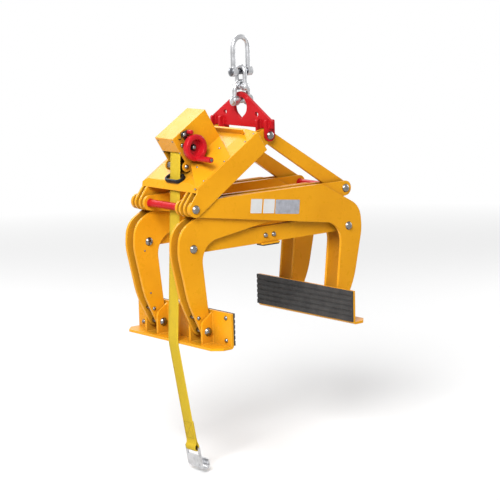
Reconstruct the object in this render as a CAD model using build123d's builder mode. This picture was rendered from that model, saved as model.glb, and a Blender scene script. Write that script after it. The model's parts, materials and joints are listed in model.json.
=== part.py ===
"""Concrete barrier lifter: a double scissor clamp with rocking pads, a yoke, its shackles and a strap winch.

X runs across the load, Y along it and Z up. Heights are written from the top face of the load, on which
the feet stand, and export lowers everything so that the origin is the inside top of the upper shackle.
"""
import math
import os

from build123d import *

# Pivot points and overall layout
GRIP_GAP = 490.0
SCISSOR_Y = 114.0
UPPER_PIN_X = 318.0
UPPER_PIN_Z = 150.0
ELBOW_X = 320.0
ELBOW_Z = 26.0
YOKE_PIN_Z = 350.0
PAD_PIN_BEHIND_FACE = 34.0
PAD_PIN_Z = -238.0

# Fits
PIN_D = 20.0
RUN_FIT = 0.05
LAYER_GAP = 1.0
HEAD_D = 28.0
HEAD_H = 9.0

# Plate thicknesses of the stack, from the middle of a scissor outwards
RIGHT_LINK_T = 12.0
CHEEK_T = 8.0
ARM_T = 9.0
YOKE_LUG_T = 9.0
PAD_LUG_T = 8.0
BAR_T = 20.0

# Arms
ARM_LOBE_R = 24.0
ARM_FOOT_R = 17.0
ARM_TOP_RISE = 26.0
ARM_SHOULDER_X = 205.0
ARM_CORNER_X = 372.0
ARM_CORNER_Z = 87.0
ARM_BACK_X = 378.0
ARM_BACK_Z = 10.0
ARM_KNEE_X = 342.0
ARM_KNEE_Z = -148.0
ARM_INNER_X = 293.0
ARM_INNER_Z = 38.0
ARM_INNER_FILLET = 68.0
ARM_SHOULDER_FILLET = 60.0
ARM_CORNER_FILLET = 72.0
ARM_BACK_FILLET = 150.0
ARM_KNEE_FILLET = 270.0
STOP_BOLT_X = 308.0
STOP_BOLT_Z = -192.0
STOP_BOLT_D = 8.0
STOP_HEAD_D = 13.0
STOP_HEAD_H = 5.0
TUBE_D = 24.0

# Links
CHEEK_LOBE_R = 25.0
YOKE_LOBE_ROOM = 2.0
CHEEK_TOP = 38.0
CHEEK_TOP_START = 30.0
CHEEK_TOP_END = 328.0

# Base bars and feet
BAR_H = 53.0
BAR_OVERHANG = 32.0
BAR_END_FILLET = 16.0
SLOT_TRAVEL = 9.5
FOOT_W = 70.0
FOOT_DEPTH = 36.0
FOOT_T = 5.0
FOOT_LEG_T = 7.0
FOOT_LEG_TOP = 50.0
FOOT_RUBBER_T = 4.0
FOOT_RUBBER_INSET = 2.0
FOOT_BOLT_SPACING = 34.0
FOOT_BOLT_Z = 32.0
FOOT_BOLT_D = 10.0
FOOT_BOLT_HEAD_D = 17.0
FOOT_BOLT_HEAD_H = 7.0

# Pads
PAD_LENGTH = 478.0
PAD_TOP_Z = -172.0
PAD_BOTTOM_Z = -283.0
PAD_PLATE_T = 8.0
PAD_RUBBER_T = 7.0
PAD_FLANGE_REACH = 70.0
PAD_FLANGE_CHAMFER = 28.0
PAD_BEND_R = 10.0
PAD_LUG_TOP_DROP = 6.0
PAD_LUG_SHOULDER_DROP = 34.0
PAD_LUG_REACH = 43.0
PAD_LUG_FILLET = 18.0
PAD_GROOVES = 5
PAD_GROOVE_W = 6.0
PAD_GROOVE_DEPTH = 2.0
PAD_BOLT_INSET_Y = 26.0
PAD_BOLT_INSET_Z = 16.0
PAD_BOLT_HEAD_D = 15.0
PAD_BOLT_HEAD_H = 6.0

# Yoke
YOKE_T = 10.0
YOKE_BOTTOM_Z = 372.0
YOKE_END_Z = 396.0
YOKE_END_MARGIN = 10.0
YOKE_NOSE_Z = 445.0
YOKE_NOSE_R = 38.0
EYE_Z = 434.4
EYE_R = 31.0
EYE_TIP_DROP = 35.0
EYE_TIP_R = 3.5
SIDE_HOLE_D = 16.0
SIDE_HOLE_Y = 79.0
SIDE_HOLE_Z = 413.5
YOKE_LUG_W = 38.0
YOKE_LUG_TOP_Z = 400.0
YOKE_LUG_FILLET = 6.0

# Shackles: bar thickness, inside width, pin
SHACKLE_CLEARANCE = 0.4
LOWER_BAR_D = 15.0
LOWER_GAP = 40.0
LOWER_PIN_D = 20.0
LOWER_LENGTH = 52.0
MIDDLE_BAR_D = 14.0
MIDDLE_GAP = 24.0
MIDDLE_PIN_D = 16.0
MIDDLE_LENGTH = 58.0
UPPER_BAR_D = 16.0
UPPER_GAP = 45.0
UPPER_PIN_D = 19.0
UPPER_LENGTH = 102.0
SHACKLE_EYE_RATIO = 1.6
SHACKLE_EYE_LIP = 1.5
SHACKLE_HEAD_RATIO = 1.4
SHACKLE_HEAD_H = 5.0

# Link cover, in the left link's own directions: along it from the upper pin, and square to it
COVER_T = 4.0
COVER_TOP = 58.0
COVER_CREASE = 49.0
COVER_FLAT_Y = 105.0
COVER_START = 20.0
COVER_END = 330.0
COVER_NOSE_X = -306.0
COVER_NOSE_LEAN = 11.0
COVER_LIP_AT = 302.0
COVER_LIP_H = 18.0
COVER_LIP_FRONT_Y = -122.0
COVER_LIP_BACK_Y = 60.0
COVER_LIP_FILLET = 10.0

# Strap and grommet
STRAP_W = 50.0
STRAP_T = 3.0
STRAP_Y = -28.0
STRAP_GAP = 2.0
STRAP_TAIL = 361.0
STRAP_LEAN = 10.2
STRAP_SPLIT_GAP = 1.0
ROLL_R = 32.0
ROLL_GAP = 0.4
LOOP_WALL = 3.0
GROMMET_L = 84.0
GROMMET_W = 38.0
GROMMET_SHIFT = 3.0
GROMMET_H = 10.0
GROMMET_WALL = 8.0

# Strap hook
HOOK_T = 5.0
HOOK_W = 72.0
HOOK_BAR_H = 8.0
HOOK_WINDOW_H = 20.0
HOOK_SHANK = 62.0
HOOK_BEND_R = 16.0
HOOK_TIP = 14.0
LOOP_CLEARANCE = 0.5

# Winch housing and what turns in it
BOX_START = 104.0
BOX_END = 258.0
BOX_TOP = 184.0
BOX_FRONT_Y = -60.0
BOX_BACK_Y = 30.0
BOX_T = 3.0
BOX_MOUTH_TOP = 132.0
APRON_TOP = 80.0
APRON_START = 118.0
APRON_EDGE_INSET = 4.0
APRON_EDGE_START = 36.0
APRON_EDGE_END = 202.0
EAR_ALONG = 100.0
EAR_UP = 80.0
EAR_R = 16.0
ROLLER_R = 12.0
ROLLER_SHAFT_D = 8.0
ROLLER_HEAD_D = 16.0
ROLLER_HEAD_H = 5.0
DRUM_ALONG = 146.0
DRUM_UP = 122.0
SHAFT_D = 16.0
SHAFT_FRONT_Y = -88.0
RATCHET_R = 27.0
RATCHET_TOOTH = 4.0
RATCHET_TEETH = 12
RATCHET_T = 6.0
RATCHET_GAP = 3.0
WHEEL_R = 42.0
WHEEL_DEPTH = 26.0
WHEEL_BACK_R = 34.0
WHEEL_BOWL_R = 27.0
WHEEL_FLOOR_R = 22.0
WHEEL_ROUND = 7.0
WHEEL_LIP_ROUND = 3.0
WHEEL_FLOOR_T = 6.0
HUB_NUT_D = 18.0
HUB_NUT_H = 9.0
CRANK_INSET = 9.0
CRANK_BOSS_R = 7.5
SPINDLE_D = 8.0
SPINDLE_HEAD_D = 9.5
SPINDLE_HEAD_H = 1.5
GRIP_D = 18.0
GRIP_LENGTH = 66.0
GRIP_GAP_ENDS = 0.5
PAWL_PIVOT_TURN = 125.5
PAWL_KNOB_TURN = 104.0
PAWL_WHEEL_GAP = 1.5
PAWL_R = 8.0
PAWL_TIP_R = 3.0
PAWL_TIP_GAP = 0.6
PAWL_KNOB_R = 7.0
PAWL_KNOB_LENGTH = 19.0
PAWL_BOLT_D = 8.0

# Places worked out from the sizes above
CHEEK_IN = RIGHT_LINK_T / 2 + LAYER_GAP
CHEEK_OUT = CHEEK_IN + CHEEK_T
LEFT_ARM_IN = CHEEK_OUT + LAYER_GAP
LEFT_ARM_OUT = LEFT_ARM_IN + ARM_T
RIGHT_ARM_IN = LEFT_ARM_OUT + LAYER_GAP
RIGHT_ARM_OUT = RIGHT_ARM_IN + ARM_T
YOKE_LUG_IN = CHEEK_OUT + LAYER_GAP
YOKE_LUG_OUT = YOKE_LUG_IN + YOKE_LUG_T
ARM_OUT = {-1: LEFT_ARM_OUT, 1: RIGHT_ARM_OUT}
ARM_IN = {-1: LEFT_ARM_IN, 1: RIGHT_ARM_IN}
PAD_LUG_IN = {hand: ARM_OUT[hand] + LAYER_GAP for hand in (-1, 1)}
PAD_LUG_OUT = {hand: PAD_LUG_IN[hand] + PAD_LUG_T for hand in (-1, 1)}
SKIRT_IN = RIGHT_ARM_OUT + LAYER_GAP
SKIRT_OUT = SKIRT_IN + COVER_T
COVER_EDGE_Y = SCISSOR_Y + SKIRT_OUT
COVER_BACK_Y = SCISSOR_Y + CHEEK_OUT
SHAFT_FRONT = {"left": SKIRT_OUT, "right": LEFT_ARM_OUT}
SHAFT_BACK = {"left": RIGHT_ARM_OUT + LAYER_GAP, "right": LEFT_ARM_OUT}
APRON_EDGE_Y = APRON_EDGE_INSET - COVER_EDGE_Y
CRANK_R = WHEEL_R - CRANK_INSET
PAWL_T = RATCHET_T - LAYER_GAP
PIN_HOLE_R = PIN_D / 2 + RUN_FIT
PAD_PIN_X = GRIP_GAP / 2 + PAD_PIN_BEHIND_FACE
PAD_BACK_X = GRIP_GAP / 2 + PAD_RUBBER_T + PAD_PLATE_T
PAD_FLANGE_X = GRIP_GAP / 2 + PAD_RUBBER_T + PAD_FLANGE_REACH
BAR_BOTTOM_Z = FOOT_RUBBER_T + FOOT_T

LOWER_PIN_Z = EYE_Z + EYE_R - SHACKLE_CLEARANCE - LOWER_PIN_D / 2
LOWER_TOP_Z = LOWER_PIN_Z + LOWER_LENGTH
MIDDLE_PIN_Z = LOWER_TOP_Z - SHACKLE_CLEARANCE - MIDDLE_PIN_D / 2
MIDDLE_TOP_Z = MIDDLE_PIN_Z + MIDDLE_LENGTH
UPPER_PIN_HEIGHT = MIDDLE_TOP_Z - SHACKLE_CLEARANCE - UPPER_PIN_D / 2
HANG_Z = UPPER_PIN_HEIGHT + UPPER_LENGTH

YOKE_LOBE_R = YOKE_BOTTOM_Z - YOKE_PIN_Z - YOKE_LOBE_ROOM
LINK_LENGTH = math.hypot(UPPER_PIN_X, YOKE_PIN_Z - UPPER_PIN_Z)
LINK_COS = UPPER_PIN_X / LINK_LENGTH
LINK_SIN = (YOKE_PIN_Z - UPPER_PIN_Z) / LINK_LENGTH


def link_point(along, up):
    """A place on the left link as (X, Z)."""
    x = -UPPER_PIN_X + along * LINK_COS - up * LINK_SIN
    z = UPPER_PIN_Z + along * LINK_SIN + up * LINK_COS
    return (x, z)


def link_section(along):
    """A plane square to the left link; its own directions are Y and the link's upward one."""
    x, z = link_point(along, 0)
    return Plane(origin=(x, 0, z), x_dir=(0, 1, 0), z_dir=(LINK_COS, 0, LINK_SIN))


def link_deck(along, up):
    """A plane parallel to the link's cover, facing away from the link."""
    x, z = link_point(along, up)
    return Plane(origin=(x, 0, z), x_dir=(0, 1, 0), z_dir=(-LINK_SIN, 0, LINK_COS))


def side_plane(y):
    """The XZ plane at a given Y, from which extrusions run towards -Y."""
    return Plane.XZ.offset(-y)


def tangent(centre_a, radius_a, centre_b, radius_b, side):
    """Ends of the line that touches two circles, to the left (+1) or right (-1) of the way from a to b."""
    dx = centre_b[0] - centre_a[0]
    dz = centre_b[1] - centre_a[1]
    angle = math.atan2(dz, dx) + side * math.acos((radius_a - radius_b) / math.hypot(dx, dz))
    nx = math.cos(angle)
    nz = math.sin(angle)
    return [(centre_a[0] + radius_a * nx, centre_a[1] + radius_a * nz),
            (centre_b[0] + radius_b * nx, centre_b[1] + radius_b * nz)]


def outline(points):
    """A face from corner points, added to the open sketch."""
    with BuildLine() as border:
        Polyline(*points, close=True)
    make_face(border.edges())


def disc(centre, radius, mode=Mode.ADD):
    with Locations(centre):
        Circle(radius, mode=mode)


def bar_between(centre_a, radius_a, centre_b, radius_b):
    """Two round ends and the straight sides that touch both."""
    one_side = tangent(centre_a, radius_a, centre_b, radius_b, 1)
    other_side = tangent(centre_a, radius_a, centre_b, radius_b, -1)
    outline(one_side + other_side[::-1])
    disc(centre_a, radius_a)
    disc(centre_b, radius_b)


def domed_pin(span, shaft_d, head_d, head_h):
    """A pin along Y, centred, with a domed head on each end."""
    half = span / 2
    ball_r = ((head_d / 2) ** 2 + head_h ** 2) / (2 * head_h)
    half_angle = math.asin(min(1.0, head_d / 2 / ball_r)) / 2
    mid_r = ball_r * math.sin(half_angle)
    mid_h = half + head_h - ball_r + ball_r * math.cos(half_angle)
    with BuildPart() as pin:
        with BuildSketch(Plane.XY):
            with BuildLine():
                ThreePointArc((0, -half - head_h), (mid_r, -mid_h), (head_d / 2, -half))
                Polyline((head_d / 2, -half), (shaft_d / 2, -half), (shaft_d / 2, half), (head_d / 2, half))
                ThreePointArc((head_d / 2, half), (mid_r, mid_h), (0, half + head_h))
                Line((0, half + head_h), (0, -half - head_h))
            make_face()
        revolve(axis=Axis.Y)
    return pin.part


def rod(x, z, radius, y_from, y_to):
    """A round bar along Y, added to the open part."""
    with BuildSketch(side_plane(y_to)) as section:
        disc((x, z), radius)
    extrude(section.sketch, amount=y_to - y_from)


def save(name, part):
    placed = part.moved(Location((0, 0, -HANG_Z)))
    placed.label = name
    export_step(placed, f"parts/{name}.step")


def shackle_bow(bar_d, gap, pin_d, pin_z, top_z):
    """A D shackle in the XZ plane, open end down, with an eye round the pin on each leg."""
    leg_x = (gap + bar_d) / 2
    bend_z = top_z + bar_d / 2 - leg_x
    with BuildPart() as bow:
        with BuildLine() as path:
            Line((-leg_x, 0, pin_z), (-leg_x, 0, bend_z))
            ThreePointArc((-leg_x, 0, bend_z), (0, 0, bend_z + leg_x), (leg_x, 0, bend_z))
            Line((leg_x, 0, bend_z), (leg_x, 0, pin_z))
        with BuildSketch(Plane(origin=(-leg_x, 0, pin_z), z_dir=(0, 0, 1))):
            Circle(bar_d / 2)
        sweep(path=path.line)
        for eye_x in (-leg_x, leg_x):
            with BuildSketch(Plane.YZ.offset(eye_x - bar_d / 2 - SHACKLE_EYE_LIP)):
                disc((0, pin_z), pin_d * SHACKLE_EYE_RATIO / 2)
            extrude(amount=bar_d + 2 * SHACKLE_EYE_LIP)
        with BuildSketch(Plane.YZ.offset(-leg_x - bar_d)):
            disc((0, pin_z), pin_d / 2 + RUN_FIT)
        extrude(amount=2 * leg_x + 2 * bar_d, mode=Mode.SUBTRACT)
    return bow.part


def shackle_pin(bar_d, gap, pin_d, pin_z):
    """The pin of a shackle along X, with a head on each side."""
    pin = domed_pin(gap + 2 * bar_d + 2 * SHACKLE_EYE_LIP, pin_d, pin_d * SHACKLE_HEAD_RATIO, SHACKLE_HEAD_H)
    return pin.moved(Location((0, 0, pin_z), (0, 0, 90)))


def quarter_turned(part):
    return part.rotate(Axis.Z, 90)


def save_shackles():
    save("upper_bow", shackle_bow(UPPER_BAR_D, UPPER_GAP, UPPER_PIN_D, UPPER_PIN_HEIGHT, HANG_Z))
    save("upper_pin", shackle_pin(UPPER_BAR_D, UPPER_GAP, UPPER_PIN_D, UPPER_PIN_HEIGHT))
    middle_bow = shackle_bow(MIDDLE_BAR_D, MIDDLE_GAP, MIDDLE_PIN_D, MIDDLE_PIN_Z, MIDDLE_TOP_Z)
    middle_pin = shackle_pin(MIDDLE_BAR_D, MIDDLE_GAP, MIDDLE_PIN_D, MIDDLE_PIN_Z)
    save("middle_bow", quarter_turned(middle_bow))
    save("middle_pin", quarter_turned(middle_pin))
    save("lower_bow", shackle_bow(LOWER_BAR_D, LOWER_GAP, LOWER_PIN_D, LOWER_PIN_Z, LOWER_TOP_Z))
    save("lower_pin", shackle_pin(LOWER_BAR_D, LOWER_GAP, LOWER_PIN_D, LOWER_PIN_Z))


def save_yoke():
    end_y = SCISSOR_Y + YOKE_LUG_OUT + YOKE_END_MARGIN
    nose = (0, YOKE_NOSE_Z)
    with BuildPart() as yoke_plate:
        with BuildSketch(Plane.YZ.offset(-YOKE_T / 2)):
            left_side = tangent(nose, YOKE_NOSE_R, (end_y, YOKE_END_Z), 0, 1)
            right_side = tangent(nose, YOKE_NOSE_R, (-end_y, YOKE_END_Z), 0, -1)
            outline(left_side + [(end_y, YOKE_BOTTOM_Z), (-end_y, YOKE_BOTTOM_Z)] + right_side[::-1])
            disc(nose, YOKE_NOSE_R)
            with BuildSketch(mode=Mode.SUBTRACT):
                bar_between((0, EYE_Z), EYE_R, (0, EYE_Z - EYE_TIP_DROP), EYE_TIP_R)
            disc((SIDE_HOLE_Y, SIDE_HOLE_Z), SIDE_HOLE_D / 2, Mode.SUBTRACT)
            disc((-SIDE_HOLE_Y, SIDE_HOLE_Z), SIDE_HOLE_D / 2, Mode.SUBTRACT)
        extrude(amount=YOKE_T)
    save("yoke_plate", yoke_plate.part)

    half_w = YOKE_LUG_W / 2
    with BuildPart() as yoke_lugs:
        for middle in (-SCISSOR_Y, SCISSOR_Y):
            for far_y in (middle - YOKE_LUG_IN, middle + YOKE_LUG_OUT):
                with BuildSketch(side_plane(far_y)) as lug:
                    outline([(-half_w, YOKE_PIN_Z), (half_w, YOKE_PIN_Z), (half_w, YOKE_LUG_TOP_Z),
                             (-half_w, YOKE_LUG_TOP_Z)])
                    fillet(lug.vertices().group_by(Axis.Y)[-1], YOKE_LUG_FILLET)
                    disc((0, YOKE_PIN_Z), half_w)
                    disc((0, YOKE_PIN_Z), PIN_HOLE_R, Mode.SUBTRACT)
                    with Locations((0, (YOKE_BOTTOM_Z + YOKE_LUG_TOP_Z) / 2)):
                        Rectangle(YOKE_T, YOKE_LUG_TOP_Z - YOKE_BOTTOM_Z, mode=Mode.SUBTRACT)
                extrude(amount=YOKE_LUG_T)
    save("yoke_lugs", yoke_lugs.part)

    pin = domed_pin(2 * YOKE_LUG_OUT, PIN_D, HEAD_D, HEAD_H)
    with BuildPart() as yoke_pins:
        with Locations((0, -SCISSOR_Y, YOKE_PIN_Z), (0, SCISSOR_Y, YOKE_PIN_Z)):
            add(pin)
    save("yoke_pins", yoke_pins.part)


def arm_face(hand):
    """Outline of a bent arm: far upper lobe, shoulder, elbow and the pad's end, added to the open sketch."""
    upper = (-UPPER_PIN_X, UPPER_PIN_Z)
    foot = (PAD_PIN_X, PAD_PIN_Z)
    shoulder = (ARM_SHOULDER_X, UPPER_PIN_Z + ARM_TOP_RISE)
    corner = (ARM_CORNER_X, ARM_CORNER_Z)
    back = (ARM_BACK_X, ARM_BACK_Z)
    knee = (ARM_KNEE_X, ARM_KNEE_Z)
    inner = (ARM_INNER_X, ARM_INNER_Z)
    points = tangent(upper, ARM_LOBE_R, shoulder, 0, 1)
    points += [corner, back]
    points += tangent(knee, 0, foot, ARM_FOOT_R, 1)
    points += tangent(foot, ARM_FOOT_R, inner, 0, 1)
    points += tangent(inner, 0, upper, ARM_LOBE_R, 1)[1:]
    with BuildSketch(mode=Mode.PRIVATE) as right_hand:
        outline(points)
        for place, radius in ((shoulder, ARM_SHOULDER_FILLET), (corner, ARM_CORNER_FILLET),
                              (back, ARM_BACK_FILLET), (knee, ARM_KNEE_FILLET),
                              (inner, ARM_INNER_FILLET)):
            fillet(right_hand.vertices().sort_by_distance(Vector(*place))[0], radius)
        disc(upper, ARM_LOBE_R)
        disc(foot, ARM_FOOT_R)
        for centre, radius in ((upper, PIN_HOLE_R), (foot, PIN_HOLE_R), ((ELBOW_X, ELBOW_Z), PIN_HOLE_R),
                               ((STOP_BOLT_X, STOP_BOLT_Z), STOP_BOLT_D / 2 + RUN_FIT)):
            disc(centre, radius, Mode.SUBTRACT)
    if hand > 0:
        add(right_hand.sketch)
    else:
        mirror(right_hand.sketch, about=Plane.YZ)


def arm_pair(hand, middle):
    """The two plates of one arm in one scissor."""
    with BuildPart() as plates:
        for far_y in (middle - ARM_IN[hand], middle + ARM_OUT[hand]):
            with BuildSketch(side_plane(far_y)):
                arm_face(hand)
            extrude(amount=ARM_T)
    return plates.part


def pins_at(x, z, pin):
    """The same pin in the front and the back scissor."""
    with BuildPart() as pair:
        with Locations((x, -SCISSOR_Y, z), (x, SCISSOR_Y, z)):
            add(pin)
    return pair.part


def save_arms():
    for hand, side, far_side in ((-1, "left", "right"), (1, "right", "left")):
        save(f"{side}_arm_front", arm_pair(hand, -SCISSOR_Y))
        save(f"{side}_arm_back", arm_pair(hand, SCISSOR_Y))
        reach = ARM_OUT[hand]
        front_y = -SCISSOR_Y - SHAFT_FRONT[far_side]
        back_y = SCISSOR_Y + SHAFT_BACK[far_side]
        shaft = domed_pin(back_y - front_y, PIN_D, HEAD_D, HEAD_H)
        shaft_place = Location((-hand * UPPER_PIN_X, (front_y + back_y) / 2, UPPER_PIN_Z))
        save(f"{far_side}_cross_shaft", shaft.moved(shaft_place))
        tube_end = SCISSOR_Y - reach
        with BuildPart() as tube:
            with BuildSketch(side_plane(tube_end)):
                disc((-hand * UPPER_PIN_X, UPPER_PIN_Z), TUBE_D / 2)
                disc((-hand * UPPER_PIN_X, UPPER_PIN_Z), PIN_HOLE_R, Mode.SUBTRACT)
            extrude(amount=2 * tube_end)
        save(f"{far_side}_cross_tube", tube.part)
        elbow_pin = domed_pin(2 * reach, PIN_D, HEAD_D, HEAD_H)
        save(f"{side}_elbow_pins", pins_at(hand * ELBOW_X, ELBOW_Z, elbow_pin))
        stop_bolt = domed_pin(2 * reach, STOP_BOLT_D, STOP_HEAD_D, STOP_HEAD_H)
        save(f"{side}_stop_bolts", pins_at(hand * STOP_BOLT_X, STOP_BOLT_Z, stop_bolt))


def cheek_face():
    """Outline of a left link cheek, added to the open sketch."""
    low = (-UPPER_PIN_X, UPPER_PIN_Z)
    high = (0, YOKE_PIN_Z)
    start = link_point(CHEEK_TOP_START, CHEEK_TOP)
    end = link_point(CHEEK_TOP_END, CHEEK_TOP)
    points = tangent(low, CHEEK_LOBE_R, start, 0, 1)
    points += tangent(end, 0, high, YOKE_LOBE_R, 1)
    points += tangent(high, YOKE_LOBE_R, low, CHEEK_LOBE_R, 1)
    outline(points)
    disc(low, CHEEK_LOBE_R)
    disc(high, YOKE_LOBE_R)
    disc(low, PIN_HOLE_R, Mode.SUBTRACT)
    disc(high, PIN_HOLE_R, Mode.SUBTRACT)


def save_links():
    for name, middle in (("front", -SCISSOR_Y), ("back", SCISSOR_Y)):
        with BuildPart() as cheeks:
            for far_y in (middle - CHEEK_IN, middle + CHEEK_OUT):
                with BuildSketch(side_plane(far_y)):
                    cheek_face()
                extrude(amount=CHEEK_T)
        save(f"left_link_{name}", cheeks.part)
        with BuildPart() as bar:
            with BuildSketch(side_plane(middle + RIGHT_LINK_T / 2)):
                bar_between((0, YOKE_PIN_Z), YOKE_LOBE_R, (UPPER_PIN_X, UPPER_PIN_Z), ARM_LOBE_R)
                disc((0, YOKE_PIN_Z), PIN_HOLE_R, Mode.SUBTRACT)
                disc((UPPER_PIN_X, UPPER_PIN_Z), PIN_HOLE_R, Mode.SUBTRACT)
            extrude(amount=RIGHT_LINK_T)
        save(f"right_link_{name}", bar.part)


def save_bars():
    for name, middle, outward in (("front", -SCISSOR_Y, -1), ("back", SCISSOR_Y, 1)):
        with BuildPart() as bar:
            with BuildSketch(side_plane(middle + BAR_T / 2)):
                with Locations((0, BAR_BOTTOM_Z + BAR_H / 2)):
                    RectangleRounded(2 * (ELBOW_X + BAR_OVERHANG), BAR_H, BAR_END_FILLET)
                disc((ELBOW_X, ELBOW_Z), PIN_HOLE_R, Mode.SUBTRACT)
                with BuildSketch(mode=Mode.SUBTRACT):
                    bar_between((-ELBOW_X, ELBOW_Z), PIN_HOLE_R, (-ELBOW_X - SLOT_TRAVEL, ELBOW_Z), PIN_HOLE_R)
            extrude(amount=BAR_T)
        save(f"{name}_bar", bar.part)

        leg_y = middle - outward * (BAR_T + FOOT_LEG_T) / 2
        outer_y = middle + outward * BAR_T / 2
        sole_y = middle - outward * (BAR_T / 2 + FOOT_LEG_T - FOOT_DEPTH / 2)
        with BuildPart() as foot:
            with Locations((0, sole_y, FOOT_RUBBER_T + FOOT_T / 2)):
                Box(FOOT_W, FOOT_DEPTH, FOOT_T)
            with Locations((0, leg_y, (FOOT_RUBBER_T + FOOT_LEG_TOP) / 2)):
                Box(FOOT_W, FOOT_LEG_T, FOOT_LEG_TOP - FOOT_RUBBER_T)
        save(f"{name}_foot", foot.part)
        with BuildPart() as rubber:
            with Locations((0, sole_y, FOOT_RUBBER_T / 2)):
                Box(FOOT_W - 2 * FOOT_RUBBER_INSET, FOOT_DEPTH - 2 * FOOT_RUBBER_INSET, FOOT_RUBBER_T)
        save(f"{name}_foot_rubber", rubber.part)
        head = domed_head(FOOT_BOLT_HEAD_D, FOOT_BOLT_HEAD_H, outward)
        with BuildPart() as bolts:
            with Locations(*[(side * FOOT_BOLT_SPACING / 2, outer_y, FOOT_BOLT_Z) for side in (-1, 1)]):
                add(head)
        save(f"{name}_foot_bolts", bolts.part)


def domed_head(diameter, height, outward):
    """A bolt head that stands on the plane Y = 0 and points along outward times Y."""
    ball_r = ((diameter / 2) ** 2 + height ** 2) / (2 * height)
    half_angle = math.asin(min(1.0, diameter / 2 / ball_r)) / 2
    mid_r = ball_r * math.sin(half_angle)
    mid_h = height - ball_r + ball_r * math.cos(half_angle)
    with BuildPart() as head:
        with BuildSketch(Plane.XY):
            with BuildLine():
                Line((0, 0), (diameter / 2, 0))
                ThreePointArc((diameter / 2, 0), (mid_r, outward * mid_h), (0, outward * height))
                Line((0, outward * height), (0, 0))
            make_face()
        revolve(axis=Axis.Y)
    return head.part


def save_pads():
    face_x = GRIP_GAP / 2
    plate_x = face_x + PAD_RUBBER_T
    half = PAD_LENGTH / 2
    flange_top = PAD_BOTTOM_Z + PAD_PLATE_T
    for hand, side in ((-1, "left"), (1, "right")):
        with BuildPart() as plate:
            with BuildSketch(side_plane(half)) as profile:
                outline([(hand * plate_x, PAD_TOP_Z), (hand * plate_x, PAD_BOTTOM_Z),
                         (hand * PAD_FLANGE_X, PAD_BOTTOM_Z), (hand * PAD_FLANGE_X, flange_top),
                         (hand * PAD_BACK_X, flange_top), (hand * PAD_BACK_X, PAD_TOP_Z)])
                bend = profile.vertices().sort_by_distance(Vector(hand * plate_x, PAD_BOTTOM_Z))[0]
                fillet(bend, PAD_BEND_R)
            extrude(amount=PAD_LENGTH)
            with BuildSketch(Plane.XY.offset(PAD_BOTTOM_Z)):
                for end in (-1, 1):
                    outline([(hand * PAD_FLANGE_X, end * half),
                             (hand * PAD_FLANGE_X, end * (half - PAD_FLANGE_CHAMFER)),
                             (hand * (PAD_FLANGE_X - PAD_FLANGE_CHAMFER), end * half)])
            extrude(amount=PAD_PLATE_T, mode=Mode.SUBTRACT)
        save(f"{side}_pad_plate", plate.part)

        with BuildPart() as lugs:
            for middle in (-SCISSOR_Y, SCISSOR_Y):
                for far_y in (middle - PAD_LUG_IN[hand], middle + PAD_LUG_OUT[hand]):
                    with BuildSketch(side_plane(far_y)) as lug:
                        outer_x = hand * (PAD_BACK_X + PAD_LUG_REACH)
                        shoulder = (outer_x, PAD_TOP_Z - PAD_LUG_SHOULDER_DROP)
                        outline([(hand * PAD_BACK_X, PAD_TOP_Z - PAD_LUG_TOP_DROP), shoulder,
                                 (outer_x, flange_top), (hand * PAD_BACK_X, flange_top)])
                        fillet(lug.vertices().sort_by_distance(Vector(*shoulder))[0], PAD_LUG_FILLET)
                        disc((hand * PAD_PIN_X, PAD_PIN_Z), PIN_HOLE_R, Mode.SUBTRACT)
                    extrude(amount=PAD_LUG_T)
        save(f"{side}_pad_lugs", lugs.part)

        pad_pin = domed_pin(2 * PAD_LUG_OUT[hand], PIN_D, HEAD_D, HEAD_H)
        save(f"{side}_pad_pins", pins_at(hand * PAD_PIN_X, PAD_PIN_Z, pad_pin))

        rubber_h = PAD_TOP_Z - PAD_BOTTOM_Z - PAD_BEND_R
        pitch = rubber_h / (PAD_GROOVES + 1)
        with BuildPart() as rubber:
            with Locations((hand * (face_x + PAD_RUBBER_T / 2), 0, PAD_TOP_Z - rubber_h / 2)):
                Box(PAD_RUBBER_T, PAD_LENGTH, rubber_h)
            groove_places = [(hand * (face_x + PAD_GROOVE_DEPTH / 2), 0, PAD_TOP_Z - pitch * (index + 1))
                             for index in range(PAD_GROOVES)]
            with Locations(*groove_places):
                Box(PAD_GROOVE_DEPTH, PAD_LENGTH, PAD_GROOVE_W, mode=Mode.SUBTRACT)
        save(f"{side}_pad_rubber", rubber.part)

        head = domed_head(PAD_BOLT_HEAD_D, PAD_BOLT_HEAD_H, 1).rotate(Axis.Z, -90 * hand)
        bolt_z = (PAD_TOP_Z - PAD_BOLT_INSET_Z, flange_top + PAD_BOLT_INSET_Z)
        bolt_y = half - PAD_BOLT_INSET_Y
        with BuildPart() as bolts:
            with Locations(*[(hand * PAD_BACK_X, end * bolt_y, z) for end in (-1, 1) for z in bolt_z]):
                add(head)
        save(f"{side}_pad_bolts", bolts.part)


def cover_height(y):
    """How far the cover's top stands off the link on its sloping front part."""
    slope = (COVER_TOP - COVER_CREASE) / (COVER_EDGE_Y - COVER_FLAT_Y)
    return COVER_TOP - slope * (-y - COVER_FLAT_Y)


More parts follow.
